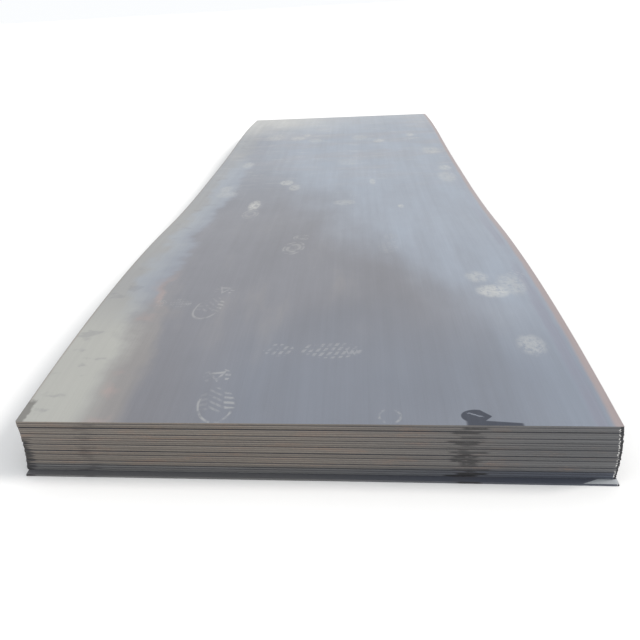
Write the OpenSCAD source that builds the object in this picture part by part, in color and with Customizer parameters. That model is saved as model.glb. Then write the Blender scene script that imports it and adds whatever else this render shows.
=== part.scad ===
/* [Plates] */
// Width of every plate, across the stack
plate_w = 1500; // [900:10:2500]
// Length of every plate, measured along the steel
plate_l = 5000; // [4000:10:12000]
// Thickness of every plate
plate_t = 6; // [4:0.5:8]
// Gap left between two plates by scale and dust
layer_gap = 0.3; // [0.2:0.1:0.9]

/* [Waves along the length] */
// Length of steel in the near wave, from the near end to the flat
near_wave_l = 2400; // [1500:10:2700]
// Length of the flat between the waves, where the stack rests
flat_l = 500; // [100:10:600]
// Rise of the near wave over the flat
near_rise = 40; // [10:1:60]
// Where the top of the near wave lies in its length, from the near end
near_crest_at = 0.4; // [0.3:0.01:0.46]
// Rise of the far wave over the flat
far_rise = 20; // [5:1:40]
// Where the top of the far wave lies in its length, from the far end
far_crest_at = 0.36; // [0.3:0.01:0.46]

/* [How the stack was laid] */
// How far the bottom plate stands out at the near end
bottom_out = 17; // [0:1:40]
// How far the bottom plate stands out to the right, past the top plate
bottom_side = 5; // [0:1:40]
// How far the middle of the stack leans out to the right
belly_side = 5; // [0:1:20]
// How far single plates lie off the line at the near end
end_scatter = 1; // [0:0.5:10]
// How far single plates lie off the line at the sides
side_scatter = 0.5; // [0:0.5:6]

/* [Hidden] */
NODES = ["plate_01", "plate_02", "plate_03", "plate_04", "plate_05", "plate_06",
         "plate_07", "plate_08", "plate_09", "plate_10", "plate_11", "plate_12",
         "plate_13", "plate_14", "plate_15", "plate_16", "plate_17", "plate_18",
         "plate_19", "plate_20", "plate_21", "plate_22", "plate_23", "plate_24",
         "plate_25"];
plate_n = len(NODES);
pitch = plate_t + layer_gap;
far_wave_l = plate_l - near_wave_l - flat_l;

// Longest straight step along an arc
step_l = 80;

// Each wave is an arc over its crest and an arc that runs out into the flat,
// tangent to each other and to the flat. A wave is given as its rise, its
// length of steel and the length between its crest and the free end, and its
// radii and turns (in radians) follow, on the underside of the bottom plate.
NEAR = [near_rise, near_wave_l, near_wave_l * near_crest_at];
FAR = [far_rise, far_wave_l, far_wave_l * far_crest_at];
function spread(wave) = wave[1] / wave[2] - 1;
function crest_r(wave) = wave[2] * wave[2] / (2 * wave[0]);
function foot_r(wave) = crest_r(wave) * (pow(spread(wave), 2) - 1);
function foot_turn(wave) = 2 * wave[0] / wave[2] / spread(wave);
function degrees(turn) = turn * 180 / PI;

// Height of a plate's underside over the bottom of the stack
function layer_z(i) = (i - 1) * pitch;
// Bulge of the stack's middle, 0 at the bottom and the top plate and 1 halfway
function bulge(i) = sin(180 * (i - 1) / (plate_n - 1));
// Scatter that repeats at no short step, from -1 to 1
function scatter(i, step) = sin(i * step);
// Shift of a plate out of the near end, counted from the bottom plate's, and
// to the right, counted from the top plate's
function end_out(i) = i == 1 ? 0 : end_scatter * scatter(i, 137) - bottom_out;
function side_out(i) = i == 1 ? bottom_side
    : (belly_side + side_scatter * scatter(i, 101)) * bulge(i);

// Turn over the crest at which a plate ends, so that its length is right on
// its own underside
function end_turn(wave, i, out) =
    (wave[1] + out - (foot_r(wave) - layer_z(i)) * foot_turn(wave))
    / (crest_r(wave) + layer_z(i)) - foot_turn(wave);

// Steps along the crest arc and the foot arc: as many on every plate, so that
// neighbouring plates bend at the same places
function crest_steps(wave) = ceil(crest_r(wave) * (end_turn(wave, 1, 0) + foot_turn(wave)) / step_l);
function foot_steps(wave) = ceil(foot_r(wave) * foot_turn(wave) / step_l);

// Points along an arc about a centre, counted from the vertical, with the last
// point left out: it is the first one of the next stretch
function arc(centre, r, from_turn, to_turn, n) =
    [for (k = [0:n - 1])
        let (turn = degrees(from_turn + (to_turn - from_turn) * k / n))
        centre + r * [sin(turn), cos(turn)]];

// Line along a plate at a height over the bottom of the stack, from its free
// end to the flat, which starts at 0. The foot arc is bent upwards and the
// crest arc downwards.
function wave_line(wave, i, out, height) =
    let (turn = foot_turn(wave))
    let (foot_centre = [0, foot_r(wave)])
    let (both_r = crest_r(wave) + foot_r(wave))
    let (crest_centre = foot_centre - both_r * [sin(degrees(turn)), cos(degrees(turn))])
    let (end = end_turn(wave, i, out))
    concat(
        arc(crest_centre, crest_r(wave) + height, -end, turn, crest_steps(wave)),
        arc(foot_centre, height - foot_r(wave), turn, 0, foot_steps(wave)),
        [[0, height]]);
function reversed(line) = [for (k = [len(line) - 1:-1:0]) line[k]];
function plate_line(i, height) = concat(
    wave_line(NEAR, i, end_out(i), height),
    [for (point = reversed(wave_line(FAR, i, -end_out(i), height))) [flat_l - point[0], point[1]]]);

// The origin lies under the middle of the whole stack
near_reach = max([for (i = [1:plate_n]) -plate_line(i, layer_z(i) + plate_t)[0][0]]);
far_reach = max([for (i = [1:plate_n]) reversed(plate_line(i, layer_z(i) + plate_t))[0][0]]);
flat_y = (near_reach - far_reach) / 2;
side_outs = [for (i = [1:plate_n]) side_out(i)];
mid_x = (max(side_outs) + min(side_outs)) / 2;

module plate(i) {
    color([0.47, 0.49, 0.55])
        translate([side_out(i) - mid_x - plate_w / 2, flat_y, 0])
            rotate([90, 0, 90])
                linear_extrude(plate_w)
                    polygon(concat(plate_line(i, layer_z(i)),
                                   reversed(plate_line(i, layer_z(i) + plate_t))));
}

plate(1);  // plate_01
plate(2);  // plate_02
plate(3);  // plate_03
plate(4);  // plate_04
plate(5);  // plate_05
plate(6);  // plate_06
plate(7);  // plate_07
plate(8);  // plate_08
plate(9);  // plate_09
plate(10);  // plate_10
plate(11);  // plate_11
plate(12);  // plate_12
plate(13);  // plate_13
plate(14);  // plate_14
plate(15);  // plate_15
plate(16);  // plate_16
plate(17);  // plate_17
plate(18);  // plate_18
plate(19);  // plate_19
plate(20);  // plate_20
plate(21);  // plate_21
plate(22);  // plate_22
plate(23);  // plate_23
plate(24);  // plate_24
plate(25);  // plate_25
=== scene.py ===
import math

import bmesh
import bpy
from mathutils import Euler, Matrix, Vector, noise


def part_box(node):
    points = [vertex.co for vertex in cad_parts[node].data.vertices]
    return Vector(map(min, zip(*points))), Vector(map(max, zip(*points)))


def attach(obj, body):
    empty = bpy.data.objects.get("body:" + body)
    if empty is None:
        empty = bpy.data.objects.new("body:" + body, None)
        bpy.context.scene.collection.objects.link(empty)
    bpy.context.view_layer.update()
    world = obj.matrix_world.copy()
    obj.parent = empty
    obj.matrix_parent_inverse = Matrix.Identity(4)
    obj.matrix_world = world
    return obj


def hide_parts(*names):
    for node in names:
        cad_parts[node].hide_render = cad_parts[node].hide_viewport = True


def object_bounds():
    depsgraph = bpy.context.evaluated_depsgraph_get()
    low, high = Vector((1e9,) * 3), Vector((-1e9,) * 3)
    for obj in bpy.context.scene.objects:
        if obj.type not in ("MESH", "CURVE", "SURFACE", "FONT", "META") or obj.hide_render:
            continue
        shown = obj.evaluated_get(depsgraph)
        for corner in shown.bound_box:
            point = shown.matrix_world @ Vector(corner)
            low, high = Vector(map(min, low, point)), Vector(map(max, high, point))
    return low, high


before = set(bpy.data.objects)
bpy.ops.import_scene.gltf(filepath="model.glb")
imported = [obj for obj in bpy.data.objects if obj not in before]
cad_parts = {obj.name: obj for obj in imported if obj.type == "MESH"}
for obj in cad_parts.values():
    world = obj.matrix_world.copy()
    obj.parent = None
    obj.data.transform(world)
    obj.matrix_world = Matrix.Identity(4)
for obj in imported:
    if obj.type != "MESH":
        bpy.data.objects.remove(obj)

cad_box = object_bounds()

# ------------------------------------------------------------------ The plates
# Plates of hot-rolled steel, cut square on a guillotine shear. Each takes its
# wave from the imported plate. The shear leaves edges that wander a little, and
# handling has blunted the rims and knocked the corners.
PLATES = sorted(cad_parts)
TOP_PLATE = PLATES[-1]

END_ZONE = 0.1          # length at each end that is cut finely across
END_CUTS = 59           # cuts across the width there
AT_EDGE = 0.002         # points this near a plate's side belong to its sheared edge
WANDER = 0.0005         # how far a sheared edge strays from straight
BREAK = 0.0004          # how far the foot of a sheared edge is dragged out
RIM = 0.0003            # rounding of the rims
BUCKLE = 0.0003         # unevenness of the top plate's open face
MERGE = 0.00001         # packed points closer than this are one point
FLAT = math.radians(0.03)    # packed facets that meet flatter than this are one face
SHARP = 1.0             # faces that meet at more than this angle form a rim or corner
CREASE = 0.25           # faces that meet at more than this angle stay crisp
UPRIGHT = 0.004         # an edge that rises more than this is an upright corner
BROAD = 0.8             # a face whose normal is steeper than this belongs to a broad side

# How far each kind of corner is knocked in.
NEAR_RIGHT, NEAR_LEFT, FAR_CORNER = 0.002, 0.004, 0.003

# Play of a plate between its neighbours at the near end, left and right. The
# plates rest on scale and grit, so that some joints stand open and some shut.
PLAY = 0.00011
PLAY_REACH = 0.7
PLAY_AT = {4: (-1, -1), 5: (1, 1), 11: (-1, -0.8), 12: (1, 0.8), 15: (-0.6, -1), 16: (1, 1),
           22: (-1, -0.2), 23: (1, 0.2)}

# Painted shade and dirt in the joint over a plate, where it isn't the usual little.
LITTLE_SHADE_AND_DIRT = 0.24
SHADE_AND_DIRT_OVER = {1: 0.5, 2: 0.6, 3: 0.4, 4: 1.0, 7: 0.45, 9: 0.3, 11: 0.9, 13: 0.45, 15: 0.85, 16: 0.5,
             19: 0.4, 20: 0.25, 22: 0.85, 23: 0.5}


def uneven(a, b, c=0.0):
    """A smooth value between -1 and 1 that strays with its three inputs."""
    return noise.noise(Vector((a, b, c)))


def packed_skin(node):
    """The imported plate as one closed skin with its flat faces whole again."""
    bm = bmesh.new()
    bm.from_mesh(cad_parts[node].data)
    bmesh.ops.remove_doubles(bm, verts=bm.verts, dist=MERGE)
    bmesh.ops.dissolve_limit(bm, angle_limit=FLAT, verts=bm.verts, edges=bm.edges)
    bm.normal_update()
    return bm


def cut_lengthwise(bm, low, high, whole):
    """Lengthwise cuts: in the end zones only, or over the whole plate."""
    across = []
    for edge in bm.edges:
        a, b = (vert.co for vert in edge.verts)
        at_end = min(a.y, b.y) > high.y - END_ZONE or max(a.y, b.y) < low.y + END_ZONE
        if abs(a.x - b.x) > (high.x - low.x) / 3 and (whole or at_end):
            across.append(edge)
    bmesh.ops.subdivide_edges(bm, edges=across, cuts=END_CUTS, use_grid_fill=True)


def shear_wander(bm, number, low, high, height):
    """Moves the rims off their straight lines, and the foot of each cut outwards."""
    for vert in bm.verts:
        x, y = vert.co.x, vert.co.y
        drag = BREAK * (1 - vert[height])
        for axis, along, start, end in ((0, y, low.x, high.x), (1, x, low.y, high.y)):
            for limit, outward in ((start, -1), (end, 1)):
                if abs(vert.co[axis] - limit) < AT_EDGE:
                    size = WANDER if axis else WANDER / 2
                    slow = uneven(along * 3, number * 5.3 + outward, axis)
                    quick = uneven(along * 14, number * 7.1 + outward, axis + 9)
                    vert.co[axis] += outward * (size * (slow * 0.6 + quick * 0.4) + drag)


def settle(bm, number, low, high):
    """Lifts or drops the near end by the play that its joints leave."""
    left, right = PLAY_AT.get(number, (0.4 * uneven(number * 3.7, 1), 0.4 * uneven(number * 2.9, 5)))
    for vert in bm.verts:
        share = (vert.co.x - low.x) / (high.x - low.x)
        away = min((vert.co.y - low.y) / PLAY_REACH, 1)
        vert.co.z += PLAY * (left + (right - left) * share) * (1 - away) ** 2


def knock_corners(bm, number, low, high):
    """Blunts the four upright corners, each by its own amount."""
    for edge in [e for e in bm.edges if abs(e.verts[0].co.z - e.verts[1].co.z) > UPRIGHT]:
        if not edge.is_valid or edge.calc_face_angle(0) < SHARP:
            continue
        corner = edge.verts[0].co
        size = FAR_CORNER
        if corner.y < 0:
            size = NEAR_RIGHT if corner.x > 0 else NEAR_LEFT
        size *= 1 + 0.5 * uneven(number * 4.1, corner.x * 3, corner.y)
        bmesh.ops.bevel(bm, geom=[edge], offset=size, affect="EDGES", segments=3,
                        profile=0.5, material=-1, clamp_overlap=True)


def round_rims(bm):
    """A small rounding along every rim, top and foot."""
    rims = [edge for edge in bm.edges if edge.calc_face_angle(0) > SHARP]
    bmesh.ops.bevel(bm, geom=rims, offset=RIM, affect="EDGES", segments=2,
                    profile=0.5, material=-1, clamp_overlap=True)


def sheared_plate(node, number):
    """One plate's mesh: broad faces take the first material, cut edges the second."""
    low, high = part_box(node)
    bm = packed_skin(node)
    height = bm.verts.layers.float.new("height_in_plate")
    order = bm.verts.layers.float.new("order")
    shade_and_dirt = bm.verts.layers.float.new("joint_shade_and_dirt")
    from_right = bm.verts.layers.float.new("from_right")
    # Each rim carries the strength of the painted shade and dirt in its joint.
    for vert in bm.verts:
        above = vert.normal.z > 0
        vert[height] = 1.0 if above else 0.0
        vert[shade_and_dirt] = SHADE_AND_DIRT_OVER.get(number if above else number - 1, LITTLE_SHADE_AND_DIRT)
    cut_lengthwise(bm, low, high, node == TOP_PLATE)
    shear_wander(bm, number, low, high, height)
    if node == TOP_PLATE:
        for vert in bm.verts:
            if vert[height] > 0.5:
                vert.co.z += BUCKLE * uneven(vert.co.x * 3.1, vert.co.y * 2.3, 4)
    settle(bm, number, low, high)
    knock_corners(bm, number, low, high)
    round_rims(bm)
    for vert in bm.verts:
        vert[order] = number
        vert[from_right] = high.x - vert.co.x
    bm.normal_update()
    for face in bm.faces:
        face.smooth = True
        face.material_index = 0 if abs(face.normal.z) > BROAD else 1
    for edge in bm.edges:
        edge.smooth = edge.calc_face_angle(0) < CREASE
    mesh = bpy.data.meshes.new("sheared_" + node)
    bm.to_mesh(mesh)
    bm.free()
    return mesh


sheared = []
for number, node in enumerate(PLATES, start=1):
    plate = bpy.data.objects.new("sheared_" + node, sheared_plate(node, number))
    bpy.context.scene.collection.objects.link(plate)
    sheared.append(plate)
    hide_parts(node)
    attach(plate, "root")

# ------------------------------------------------------------ The sheared edges
# A cut edge shows two bands: a smooth, burnished one where the blade went in,
# and under it a rough one where the steel broke. Damp has left brown rust on
# the upper plates, and the lower ones stay blue-grey.


class Value:
    """A number that varies over a surface. Arithmetic on it adds Math nodes."""

    def __init__(self, surface, socket):
        self.surface = surface
        self.socket = socket

    def _maths(self, operation, *inputs):
        return self.surface.add("ShaderNodeMath", {"operation": operation}, dict(enumerate(inputs)))

    def __add__(self, other):
        return self._maths("ADD", self, other)

    def __sub__(self, other):
        return self._maths("SUBTRACT", self, other)

    def __rsub__(self, other):
        return self._maths("SUBTRACT", other, self)

    def __mul__(self, other):
        return self._maths("MULTIPLY", self, other)

    def __truediv__(self, other):
        return self._maths("DIVIDE", self, other)

    def __pow__(self, other):
        return self._maths("POWER", self, other)

    def __abs__(self):
        return self._maths("ABSOLUTE", self)

    __radd__ = __add__
    __rmul__ = __mul__

    def most(self, other):
        return self._maths("MAXIMUM", self, other)

    def least(self, other):
        return self._maths("MINIMUM", self, other)

    def wave(self, length):
        """A sine along this value, between 0 and 1."""
        return self._maths("SINE", self * (2 * math.pi / length)) * 0.5 + 0.5

    def rise(self, start, end):
        """0 up to start and 1 from end on, with a smooth change between."""
        return self.surface.add("ShaderNodeMapRange", {"interpolation_type": "SMOOTHSTEP"},
                                {"Value": self, "From Min": start, "From Max": end})

    def near(self, middle, reach, soft):
        """1 within reach of middle, fading to 0 over soft."""
        return 1 - abs(self - middle).rise(reach, reach + soft)


class Surface:
    """A finish: a material that is built up node by node."""

    def __init__(self, name):
        self.material = bpy.data.materials.new(name)
        self.material.use_nodes = True
        self.tree = self.material.node_tree
        self.tree.nodes.clear()
        place = self.add("ShaderNodeTexCoord", {}, {}, "Object")
        axes = self.add("ShaderNodeSeparateXYZ", {}, {0: place}, None)
        self.x, self.y, self.z = (Value(self, axes.outputs[i]) for i in range(3))

    def add(self, kind, settings, inputs, output=0):
        """Adds one node: settings first, then socket values and links."""
        node = self.tree.nodes.new(kind)
        for name, value in settings.items():
            setattr(node, name, value)
        for name, value in inputs.items():
            if isinstance(value, Value):
                self.tree.links.new(value.socket, node.inputs[name])
            else:
                node.inputs[name].default_value = value
        if output is None:
            return node
        return Value(self, node.outputs[output])

    def grain(self, x, y, z=0.0, detail=2.0, roughness=0.5):
        """Noise at a point, about 0.5 on average."""
        point = self.add("ShaderNodeCombineXYZ", {}, {0: x, 1: y, 2: z})
        return self.add("ShaderNodeTexNoise", {"noise_dimensions": "3D"},
                        {"Vector": point, "Scale": 1.0, "Detail": detail, "Roughness": roughness})

    def read(self, attribute):
        return self.add("ShaderNodeAttribute", {"attribute_name": attribute}, {}, "Fac")

    def mix(self, mask, base, layer):
        """Lays one colour over another where the mask is 1."""
        both = {0: mask}
        for place, colour in ((6, base), (7, layer)):
            both[place] = colour if isinstance(colour, Value) else (*colour, 1.0)
        return self.add("ShaderNodeMix", {"data_type": "RGBA"}, both, 2)

    def shade(self, mask, base):
        """Darkens or lightens a colour by a number about 1."""
        grey = self.add("ShaderNodeCombineColor", {}, {0: mask, 1: mask, 2: mask})
        return self.add("ShaderNodeMix", {"data_type": "RGBA", "blend_type": "MULTIPLY"},
                        {0: 1.0, 6: base, 7: grey}, 2)

    def steel(self, colour, roughness, metallic, height, depth, gloss=1.5):
        """Ends the finish in one shader with its bump. Gloss is the index of refraction."""
        bump = self.add("ShaderNodeBump", {},
                        {"Height": height, "Distance": depth, "Strength": 1.0}, "Normal")
        shader = self.add("ShaderNodeBsdfPrincipled", {},
                          {"Base Color": colour, "Roughness": roughness, "Metallic": metallic,
                           "IOR": gloss, "Normal": bump}, None)
        out = self.add("ShaderNodeOutputMaterial", {}, {}, None)
        self.tree.links.new(shader.outputs[0], out.inputs[0])
        return self.material


BURNISHED = (0.255, 0.226, 0.198)
BROKEN = (0.140, 0.124, 0.108)
COOL_STEEL = (0.150, 0.158, 0.170)
LOW_STEEL = (0.142, 0.147, 0.152)
BLUE_STEEL = (0.092, 0.108, 0.146)
EDGE_RUST = (0.25, 0.15, 0.10)
# The dark of stains and dirt, and of painted shade in the joints and corners.
EDGE_DIRT_AND_SHADE = (0.030, 0.029, 0.031)
BURR_GLINT = (0.75, 0.74, 0.72)

BLUE_PLATES = 5                             # plates at the bottom that stay blue-grey
NEAR_END = (-2.4, -2.3)                     # the near end's own dirt ends between these
WATER_RIGHT, WATER_LEFT = 0.390, -0.578     # where water has run down the near end
WATER_STRAY = 0.09                          # how far each plate's smear lies off that line
TEETH = 0.026                               # greatest reach of the painted shade from the left corner
TEETH_UP_TO = (15, 19)                      # it gets weaker between these two plates
BURR_IN = 0.0054                            # how far the painted glint on the burr lies from the right corner

box_low, box_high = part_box(TOP_PLATE)
plate_width = box_high.x - box_low.x


def edge_finish():
    s = Surface("sheared_edge")
    number = s.read("order")
    height = s.read("height_in_plate")
    streaks = s.grain(s.x * 3, s.y * 3, number * 3.7, detail=3)
    grit = s.grain(s.x * 160, s.y * 160, height * 3 + number * 1.9, detail=3)
    teeth = s.grain(s.x * 700, s.y * 700, height * 2 + number * 2.3)
    band = (height + (streaks - 0.5) * 0.5 + (grit - 0.5) * 0.3).rise(0.35, 0.8)
    colour = s.mix(band, BROKEN, BURNISHED)
    low_plates = 1 - (number + (streaks - 0.5) * 1.5).rise(BLUE_PLATES - 0.8, BLUE_PLATES + 0.6)
    right = s.x.rise(-0.1, 0.72)
    colour = s.mix(right * 0.75, colour, COOL_STEEL)
    colour = s.mix(low_plates * 0.8, colour, s.mix(right, LOW_STEEL, BLUE_STEEL))
    damp = s.grain(s.x * 6, s.y * 6, number * 0.31, detail=4, roughness=0.6)
    rust = (damp + grit * 0.25).rise(0.62, 0.85) * (1 - low_plates)
    colour = s.mix(rust * 0.35, colour, EDGE_RUST)
    own_tone = s.grain(number * 7.7, s.x * 1.1, s.y * 1.1, detail=1)
    colour = s.shade(0.72 + own_tone * 0.46 + grit * 0.14 - right * 0.22, colour)
    # Painted shade and dirt darken the joints between plates, the most towards the left.
    joint = abs(height - 0.5).rise(0.27, 0.46)
    at_left = 1 - s.x.rise(-0.70, -0.20)
    colour = s.mix(joint * s.read("joint_shade_and_dirt") * (0.7 + streaks * 0.6 + at_left * 0.3), colour, EDGE_DIRT_AND_SHADE)

    # Water has run down the near end under the stain. It has left a smear of
    # its own length on each plate, and weaker ones nearer the left corner.
    at_near_end = 1 - s.y.rise(*NEAR_END)
    ragged = s.grain(s.x * 55, number * 2.4, height * 0.8, detail=3).rise(0.24, 0.44)
    sideways = (s.grain(number * 3.3, 1.7, 0.0, detail=0) - 0.5) * WATER_STRAY
    reach = s.grain(number * 9.1, 4.0, 6.0, detail=0).rise(0.3, 0.7) * 0.04 + 0.006
    wetness = s.grain(number * 4.7, 9.0, 2.0, detail=0).rise(0.40, 0.58) * 0.66 + 0.12
    wetness = wetness.most((1 - number.rise(3.5, 5)) * 0.95)
    smear = 1 - (abs(s.x - WATER_RIGHT - sideways) - reach).rise(-0.006, 0.012)
    left_smear = 1 - (abs(s.x - WATER_LEFT - sideways) - reach * 0.6).rise(-0.012, 0.012)
    runs = (smear * wetness).most(left_smear * wetness * 0.45)
    colour = s.mix(runs * ragged * at_near_end, colour, EDGE_DIRT_AND_SHADE)

    # The corners: painted shade in ragged teeth on the left, and on the right a dark
    # strip with a painted glint on the bright burr along its inner side.
    from_right = s.read("from_right")
    tooth = s.grain(number * 6.1, height * 1.3, 3.0, detail=1).rise(0.32, 0.66) * TEETH + 0.002
    left = 1 - (plate_width - from_right - tooth).rise(-0.004, 0.008)
    left = left * (1 - number.rise(*TEETH_UP_TO)) * at_near_end
    colour = s.mix(left * 0.85, colour, EDGE_DIRT_AND_SHADE)
    zigzag = (s.grain(number * 2.7, height * 2.0, 5.0, detail=2) - 0.5) * 0.011
    strip = from_right - zigzag - number * 0.00016
    colour = s.mix((1 - strip.rise(0.0025, 0.0045)) * at_near_end * 0.93, colour, EDGE_DIRT_AND_SHADE)
    under_top = 1 - number.rise(len(PLATES) - 0.8, len(PLATES) - 0.4)
    # A painted glint: the bare burr along the strip's inner side is painted bright, as if it caught the
    # light.
    burr_glint = strip.near(BURR_IN, 0.0004, 0.0012) * at_near_end * under_top
    burr_glint = burr_glint * s.grain(number * 5.9, height * 1.5, 8.0, detail=0).rise(0.40, 0.56)
    colour = s.mix(burr_glint, colour, BURR_GLINT)

    roughness = 0.72 - band * 0.22 + grit * 0.12
    metallic = band * 0.35 * (1 - rust)
    return s.steel(colour, roughness, metallic, teeth * 0.5 + grit + band * 0.6, 0.0006)


# ---------------------------------------------------------------- Mill scale
# The skin of blue-grey oxide that hot rolling leaves, with faint lengthwise
# streaks. This plain kind covers the hidden faces, the ledge of the bottom
# plate and the underside.
SCALE_GREY = (0.140, 0.143, 0.166)
SCALE_DARK = (0.108, 0.110, 0.128)
RUST_BROWN = (0.185, 0.155, 0.135)
LEDGE_SHADOW_GREY = (0.118, 0.119, 0.121)
LEDGE_SHADOW_BLUE = (0.058, 0.068, 0.094)
LEDGE_SUNLIT = (0.36, 0.38, 0.40)
LEDGE_TO = 0.013        # the ledge lies lower than this, between the two lowest plates
LEDGE_SUNLIT_FROM = 0.668     # where along the ledge the painted sunlit wedge starts


def plain_scale():
    s = Surface("mill_scale")
    streaks = s.grain(s.x * 110, s.y * 1.6, 1.0, detail=3)
    clouds = s.grain(s.x * 1.6, s.y * 0.8, 5.0, detail=4)
    pits = s.grain(s.x * 240, s.y * 240, 2.0, detail=3)
    colour = s.mix(clouds.rise(0.3, 0.7), SCALE_DARK, SCALE_GREY)
    colour = s.mix(s.grain(s.x * 5, s.y * 5, 3.0, detail=5).rise(0.56, 0.7) * 0.6, colour, RUST_BROWN)
    colour = s.shade(0.8 + streaks * 0.2, colour)

    # The bottom plate stands out at the near end. Its ledge is painted dark as the shadow of the
    # stack, and only its right tip is painted light as the sunlit wedge past the stack's corner.
    ledge_rim, ledge_start = cad_box[0].y, box_low.y
    ledge = 1 - s.y.rise(ledge_start - 0.001, ledge_start + 0.002)
    ledge = ledge * (1 - s.z.rise(LEDGE_TO - 0.001, LEDGE_TO + 0.001))
    colour = s.mix(ledge * 0.75, colour, s.mix(s.x.rise(-0.2, 0.5), LEDGE_SHADOW_GREY, LEDGE_SHADOW_BLUE))
    from_rim = s.y - ledge_rim + (clouds - 0.5) * 0.004
    ledge_sunlit = ((s.x - LEDGE_SUNLIT_FROM) * 0.45 - from_rim).rise(-0.001, 0.0015) * ledge
    colour = s.mix(ledge_sunlit, colour, LEDGE_SUNLIT)
    return s.steel(colour, 0.45 + pits * 0.2, 0.2, pits + streaks, 0.0002)


# ------------------------------------------------------- The top plate's face
# The open face has stood in the weather. It is grey-blue down the middle,
# silvery along the left, light blue along the right, and rusty on the rims.
# People walked on it with dusty soles, and one wet loop has stained it.
SCALE_BLUE = (0.222, 0.262, 0.325)
SCALE_PALE = (0.300, 0.300, 0.278)
SCALE_WARM = (0.205, 0.190, 0.178)
SCALE_VIOLET = (0.150, 0.150, 0.200)
SCALE_COLD = (0.112, 0.140, 0.190)
SCALE_HAZE = (0.215, 0.212, 0.235)
RUST_PINK = (0.275, 0.205, 0.190)
DUST = (0.47, 0.47, 0.445)
FAR_DUST_AND_SHEEN = (0.385, 0.385, 0.370)
CORNER_DIRT = (0.110, 0.105, 0.095)
STAIN = (0.062, 0.068, 0.088)

BAND_EDGE = -0.590              # inner edge of the silvery band at the near end
CUP = (0.205, -2.457, 0.027)    # middle and radius of the ring that a cup left
STAIN_AT = (0.414, -2.455)      # middle of the wet loop
STAIN_SIZE = (0.037, 0.027)     # its half width and half height
SLIT = (0.412, -2.449)          # middle of the dry slit in it
TAIL = (0.388, 0.519)           # where its tail starts and ends along the near rim


def sole(s, toe_x, toe_y, turn, length, width, tread):
    """A dusty shoe print. Its toe is at a place, and it points at a turn from +Y."""
    cos, sin = math.cos(turn), math.sin(turn)
    slip = (s.grain(s.x * 24, s.y * 24, toe_x * 7) - 0.5) * width * 0.09
    across = (s.x - toe_x) * cos + (s.y - toe_y) * sin + slip
    back = (s.x - toe_x) * sin - (s.y - toe_y) * cos + slip
    ball_at, heel_at = length * 0.31, length * 0.84
    ball = (across / (width * 0.5)) ** 2 + ((back - ball_at) / (length * 0.31)) ** 2
    heel = (across / (width * 0.4)) ** 2 + ((back - heel_at) / (length * 0.155)) ** 2
    inside = (1 - ball.rise(0.85, 1.1)).most(1 - heel.rise(0.85, 1.1))
    if tread == "bars":
        # A rim round the toe, bars down one side, slanting lugs in the middle
        # and a heel with a rounded wedge between bars.
        rim = ball.near(0.86, 0.07, 0.1) * (1 - (back - across * 0.9).rise(ball_at * 0.9, ball_at * 1.1))
        on_side = abs(across).rise(width * 0.2, width * 0.25)
        bars = (back + abs(across) * 0.25).wave(length * 0.085).rise(0.4, 0.7)
        bars = bars * on_side * (1 - across.rise(-0.01, 0.01) * 0.7)
        bars = bars * back.rise(ball_at * 0.7, ball_at * 0.8)
        lugs = (back - across * 0.9).wave(length * 0.1).rise(0.5, 0.8) * abs(across).wave(width * 0.3)
        lugs = lugs * (1 - on_side) * 0.6 * back.rise(ball_at * 0.55, ball_at * 0.7)
        point = (back - heel_at) / (length * 0.1)
        wedge = (abs(across) / (width * 0.22) - point * 0.6).most(point).near(0.55, 0.12, 0.14)
        bars = bars.most(wedge * back.rise(length * 0.68, length * 0.7))
        pattern = rim.most(bars).most(lugs * (1 - back.rise(length * 0.6, length * 0.65)))
    elif tread == "blocks":
        lugs = (back - across * 0.4).wave(length * 0.07).rise(0.35, 0.65)
        pattern = lugs * (across - back * 0.15).wave(width * 0.28).rise(0.1, 0.35)
        toe = across - abs(back.wave(length * 0.1) - 0.5) * width * 0.4
        toe = toe.near(0.0, width * 0.05, width * 0.05)
        pattern = pattern.most(toe * (1 - back.rise(length * 0.14, length * 0.18)))
    else:
        rings = ball.least(heel)
        pattern = rings.near(0.82, 0.1, 0.12).most(rings.near(0.3, 0.08, 0.12))
        pattern = pattern.most((back + across * 0.3).wave(length * 0.07).rise(0.5, 0.75) * 0.6)
    worn = s.grain(s.x * 30, s.y * 30, toe_x * 9, detail=4, roughness=0.65).rise(0.36, 0.56)
    return inside * pattern * worn


# Toe, turn from +Y, length, width, tread and strength of each print.
PRINTS = (
    (-0.230, -2.494, math.radians(188), 0.262, 0.100, "bars", 0.32),
    (0.140, -2.140, math.radians(-91), 0.288, 0.092, "blocks", 0.22),
    (-0.385, -1.935, math.radians(168), 0.290, 0.092, "bars", 0.26),
    (-0.430, -1.805, math.radians(-90), 0.130, 0.070, "blocks", 0.22),
    (-0.140, -1.330, math.radians(172), 0.290, 0.090, "rings", 0.24),
    (-0.395, -0.720, math.radians(178), 0.300, 0.085, "rings", 0.24),
    (0.250, -1.330, math.radians(175), 0.280, 0.085, "blocks", 0.14),
    (0.560, -1.790, math.radians(150), 0.280, 0.085, "blocks", 0.16),
    (-0.600, -0.240, math.radians(170), 0.280, 0.085, "rings", 0.16),
    (0.060, -0.500, math.radians(165), 0.280, 0.085, "blocks", 0.16),
    (0.100, 0.520, math.radians(170), 0.290, 0.090, "rings", 0.16),
    (-0.300, 1.350, math.radians(20), 0.290, 0.090, "blocks", 0.18),
    (0.300, 1.200, math.radians(172), 0.280, 0.090, "bars", 0.20),
)

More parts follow.
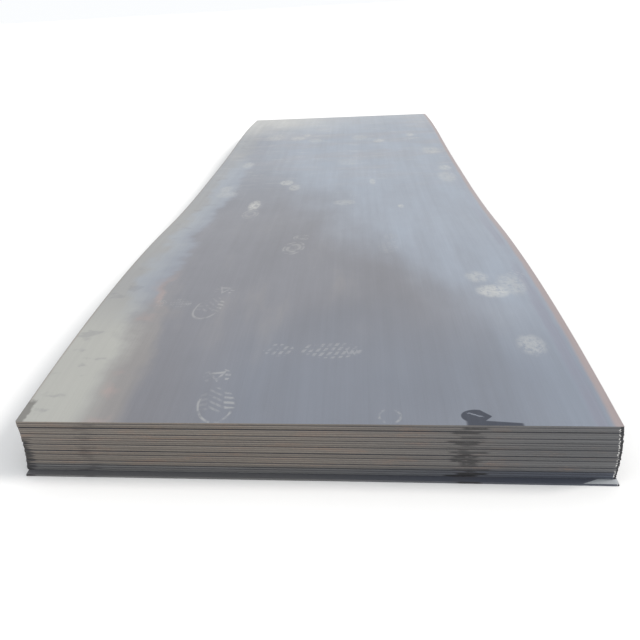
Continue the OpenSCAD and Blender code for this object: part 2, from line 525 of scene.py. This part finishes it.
# Middle, half width, half length and strength of dusty patches.
PATCHES = (
    (-0.395, -0.450, 0.020, 0.070, 0.55), (-0.270, 0.050, 0.026, 0.045, 0.45),
    (-0.215, -0.070, 0.022, 0.050, 0.36), (0.225, 0.020, 0.012, 0.045, 0.40),
    (0.070, -0.430, 0.040, 0.035, 0.26), (0.350, -0.535, 0.010, 0.025, 0.45),
    (0.580, -1.735, 0.036, 0.035, 0.50), (0.545, -1.605, 0.026, 0.035, 0.30),
    (0.650, -1.680, 0.030, 0.060, 0.26), (0.620, -2.110, 0.026, 0.040, 0.28),
    (0.665, 0.330, 0.026, 0.045, 0.42), (0.650, 0.090, 0.034, 0.090, 0.30),
    (-0.605, -0.070, 0.026, 0.050, 0.30), (-0.585, -0.190, 0.040, 0.050, 0.26),
    (-0.570, 0.570, 0.026, 0.060, 0.34), (0.080, 0.580, 0.045, 0.070, 0.18),
    (-0.300, 1.400, 0.040, 0.050, 0.40), (-0.470, 1.480, 0.050, 0.090, 0.30),
    (-0.160, 1.300, 0.040, 0.050, 0.28), (0.300, 1.225, 0.030, 0.040, 0.40),
    (0.535, 1.400, 0.020, 0.045, 0.40), (0.630, 0.850, 0.040, 0.080, 0.30),
    (0.160, 1.360, 0.040, 0.070, 0.26), (-0.235, 1.500, 0.018, 0.040, 0.38),
)


def open_face():
    s = Surface("weathered_scale")
    hair = s.grain(s.x * 230, s.y * 2.2, 1.0, detail=3)
    streaks = s.grain(s.x * 34, s.y * 0.5, 2.0, detail=3)
    clouds = s.grain(s.x * 1.5, s.y * 0.9, 5.5, detail=4)
    drift = s.grain(s.x * 3.2, s.y * 2.2, 8.5, detail=3)
    mottle = s.grain(s.x * 11, s.y * 7, 7.0, detail=5, roughness=0.6)
    pits = s.grain(s.x * 260, s.y * 260, 9.0, detail=2)
    crumbs = s.grain(s.x * 48, s.y * 34, 11.0, detail=6, roughness=0.76)
    wisps = s.grain(s.x * 7, s.y * 1.3, 13.0, detail=5, roughness=0.6)
    stray = (clouds - 0.5) * 0.3 + (drift - 0.5) * 0.14 + (wisps - 0.5) * 0.10

    # Grey down the middle, lighter and bluer to the right and further along,
    # with warm and cold wisps throughout.
    colour = s.mix((clouds * 0.4 + drift * 0.3 + wisps * 0.3).rise(0.34, 0.66), SCALE_DARK, SCALE_GREY)
    colour = s.mix(wisps.rise(0.5, 0.72) * drift.rise(0.4, 0.7) * 0.35, colour, SCALE_WARM)
    blue_from = 0.50 - (s.y + stray * 2).rise(-1.9, -0.9) * 0.46 - (s.y + stray * 2).rise(-1.0, 0.9) * 0.5
    blue = (s.x + stray - blue_from).rise(-0.2, 0.32)
    colour = s.mix(blue * (0.72 + (wisps - 0.5) * 0.9), colour, SCALE_BLUE)
    colour = s.mix((s.y + stray).rise(-0.9, 0.5) * 0.38, colour, SCALE_BLUE)
    near_end = (1 - (s.y + stray * 2).rise(-2.3, -1.7)) * s.x.rise(-0.45, -0.1)
    colour = s.mix(near_end * (0.2 + wisps * 0.5), colour, SCALE_COLD)

    # Further along, wind and rain have left it patchy across its width.
    gusts = s.grain(s.x * 2.0, s.y * 4.5, 19.0, detail=6, roughness=0.62)
    further = s.y.rise(-0.6, 0.8)
    colour = s.mix(gusts.rise(0.46, 0.62) * further * 0.45, colour, SCALE_HAZE)
    swept = s.grain(s.x * 5, s.y * 16, 29.0, detail=6, roughness=0.7)
    colour = s.mix(swept.rise(0.52, 0.72) * further * 0.40, colour, FAR_DUST_AND_SHEEN)

    # A silvery band down the left. It fades into warm grey with pink flecks
    # near the end, and further along into a light blue fringe.
    band_to = BAND_EDGE - (s.y + stray * 2).rise(-2.1, -1.7) * 0.025
    fray = s.grain(s.x * 5, s.y * 4.5, 17.0, detail=4, roughness=0.6) - 0.5
    band_edge = s.x + stray * 0.5 + fray * 0.16 * (s.y.rise(-2.45, -1.9) + 0.35)
    band = 1 - (band_edge - band_to).rise(-0.04, 0.055)
    band_strength = 1 - (s.y + stray).rise(-2.1, -1.6) * 0.5 - s.y.rise(-0.8, 0.4) * 0.2
    band_strength = band_strength * (0.84 + wisps * 0.3)
    warm = (band_edge + 0.01).near(-0.535, 0.02, 0.07) * (1 - (s.y + stray).rise(-2.1, -1.4))
    colour = s.mix(warm * 0.65, colour, SCALE_WARM)
    flecks = (band_edge + fray * 0.1).near(-0.54, 0.008, 0.035) * (fray + drift).rise(0.40, 0.56)
    colour = s.mix(flecks * (1 - s.y.rise(-1.8, -1.4)) * 0.6, colour, RUST_PINK)
    colour = s.mix(band * band_strength, colour, SCALE_PALE)
    fringe = band_edge.near(-0.615, 0.025, 0.06)
    fringe = fringe * (s.y + stray).rise(-2.0, -1.6) * (1 - s.y.rise(0.3, 1.0))
    colour = s.mix(fringe * (0.3 + wisps * 0.4), colour, SCALE_BLUE)
    smudge = (s.grain(s.x * 8, s.y * 13, 23.0, detail=3) + (crumbs - 0.5) * 0.2).rise(0.60, 0.69)
    colour = s.mix(smudge * band * 0.32, colour, SCALE_DARK)

    # Towards the far end, and most on the left, the face is painted pale: a painted sheen of reflected
    # sky.
    pale = (s.y + stray * 3).rise(1.45, 2.25) * (1 - (s.x + stray).rise(-0.5, 0.15) * 0.8)
    pale = pale + (s.y + stray).rise(-0.6, 1.4) * 0.04
    colour = s.mix(pale * (0.75 + (wisps - 0.5)), colour, FAR_DUST_AND_SHEEN)

    # Rims: on the right a pink line of rust and inside it a strip where the
    # scale turned violet, elsewhere thin rust and dirt.
    ragged = (mottle - 0.5) * 0.012
    violet = (s.x + ragged * 2).near(0.700, 0.008, 0.014) * (1 - s.y.rise(-1.6, -0.3) * 0.7)
    colour = s.mix(violet * drift.rise(0.3, 0.55) * 0.5, colour, SCALE_VIOLET)
    rust_right = (s.x + ragged).rise(0.720, 0.735)
    colour = s.mix(rust_right * 0.75, colour, RUST_PINK)
    rust_left = 1 - (s.x + ragged).rise(-0.752, -0.742)
    colour = s.mix(rust_left * 0.6, colour, RUST_BROWN)
    far_rim = (s.y + ragged).rise(2.475, 2.495)
    colour = s.mix(far_rim * 0.6, colour, RUST_BROWN)
    frayed = (crumbs - 0.5) * 0.03
    corner = (1 - (s.x + frayed).rise(-0.735, -0.727)) * (1 - (s.y + frayed * 2).rise(-2.41, -2.39))
    colour = s.mix(corner * 0.9, colour, CORNER_DIRT)

    # A thin film of dust with specks, dusty soles, part of a cup's ring, and
    # dusty patches.
    film = mottle.rise(0.4, 0.75) * s.y.rise(-2.3, 2.2) * 0.10
    specks = crumbs.rise(0.58, 0.72) * drift.rise(0.42, 0.62) * (s.y + stray).rise(-1.2, 1.6) * 0.5
    dust = film.most(specks)
    for *place, strength in PRINTS:
        dust = dust.most(sole(s, *place) * strength)
    cup_x, cup_y, cup_radius = CUP
    ring = (((s.x - cup_x) ** 2 + (s.y - cup_y) ** 2) ** 0.5).near(cup_radius, 0.0015, 0.0035)
    ring = ring * abs(s.x - cup_x).rise(0.008, 0.02) * crumbs.rise(0.4, 0.6)
    dust = dust.most(ring * 0.3)
    for x, y, half_w, half_l, strength in PATCHES:
        away = ((s.x - x) / half_w) ** 2 + ((s.y - y) / half_l) ** 2
        dust = dust.most((1 - away.rise(0.4, 3.5)) * crumbs.rise(0.36, 0.56) * strength * 1.25)
    colour = s.mix(dust, colour, DUST)

    # The stain: a wet loop with a tail along the near rim.
    loop_x, loop_y = STAIN_AT
    half_wide, half_high = STAIN_SIZE
    narrowed = half_high - (s.x - loop_x - 0.012).most(0.0) * 0.75
    loop = ((s.x - loop_x) / half_wide) ** 2 + ((s.y - loop_y) / narrowed) ** 2 + (mottle - 0.5) * 0.3
    slit_x, slit_y = SLIT
    slit = ((s.x - slit_x) * 0.4 + (s.y - slit_y) + (hair - 0.5) * 0.01) / 0.0026
    hole = slit ** 2 + ((s.x - slit_x) / 0.019) ** 2
    wet = (1 - loop.rise(0.9, 1.08)) * hole.rise(0.7, 1.4)
    tail_start, tail_end = TAIL
    tail_top = loop_y - 0.017 - (s.x - loop_x - 0.016).most(0.0) * 0.1
    tail = (s.x + ragged).near((tail_start + tail_end) / 2, (tail_end - tail_start) / 2 - 0.004, 0.009)
    tail = tail * (1 - (s.y - tail_top).rise(-0.002, 0.002))
    wet = wet.most(tail)
    colour = s.mix(wet * 0.94, colour, STAIN)

    colour = s.shade(0.83 + hair * 0.14 + streaks * 0.2, colour)
    roughness = 0.36 + pits * 0.08 + mottle * 0.1 + dust * 0.3
    return s.steel(colour, roughness, wet * 0.85, pits * 0.5 + hair + mottle * 2, 0.00025, gloss=1.8)


edge = edge_finish()
scale = plain_scale()
weathered = open_face()
for plate in sheared:
    plate.data.materials.append(scale)
    plate.data.materials.append(edge)
    if plate.name.endswith(TOP_PLATE):
        plate.data.materials.append(weathered)
        for face in plate.data.polygons:
            if face.material_index == 0 and face.normal.z > 0:
                face.material_index = 2

# ------------------------------------------------------------------- The stage
# A plain pale floor, which isn't part of the stack, under an even sky. One
# large soft light comes from the right.
FLOOR_HALF = 300.0
FLOOR_PALE, FLOOR_PALER = (0.80, 0.80, 0.80), (0.84, 0.84, 0.84)

floor_mesh = bpy.data.meshes.new("floor")
bm = bmesh.new()
bmesh.ops.create_grid(bm, x_segments=1, y_segments=1, size=FLOOR_HALF)
bm.to_mesh(floor_mesh)
bm.free()
floor = bpy.data.objects.new("floor", floor_mesh)
bpy.context.scene.collection.objects.link(floor)
paint = Surface("pale_floor")
paint_colour = paint.mix(paint.grain(paint.x, paint.y), FLOOR_PALE, FLOOR_PALER)
unevenness = paint.grain(paint.x * 20, paint.y * 20)
floor_mesh.materials.append(paint.steel(paint_colour, 0.9, 0.0, unevenness, 0.0005))

world = bpy.data.worlds.new("studio")
world.use_nodes = True
sky = world.node_tree.nodes["Background"]
sky.inputs["Color"].default_value = (0.97, 0.985, 1.0, 1.0)
sky.inputs["Strength"].default_value = 1.0
bpy.context.scene.world = world

KEY_FROM = Vector((0.98, 0.19, 0.9))
key = bpy.data.lights.new("key", "SUN")
key.energy = 2.0
key.angle = math.radians(16)
key.color = (1.0, 0.97, 0.93)
key_light = bpy.data.objects.new("key", key)
key_light.rotation_euler = KEY_FROM.to_track_quat("Z", "Y").to_euler()
bpy.context.scene.collection.objects.link(key_light)

# The camera is held at chest height, 1.4 m off the near end. It looks down
# along the stack and is turned a little to the left.
EYE = Vector((0.123, -3.929, 1.099))
DOWN, LEFT, TILT = math.radians(24.43), math.radians(6.87), math.radians(-3.31)
camera_data = bpy.data.cameras.new("camera")
camera_data.sensor_width = 36.0
camera_data.lens = 38.9
camera_data.shift_x = 0.0625
camera = bpy.data.objects.new("camera", camera_data)
aim = Euler((math.radians(90) - DOWN, 0, LEFT)).to_matrix() @ Matrix.Rotation(TILT, 3, "Z")
camera.matrix_world = Matrix.Translation(EYE) @ aim.to_4x4()
bpy.context.scene.collection.objects.link(camera)
bpy.context.scene.camera = camera
bpy.context.scene.view_settings.view_transform = "Standard"
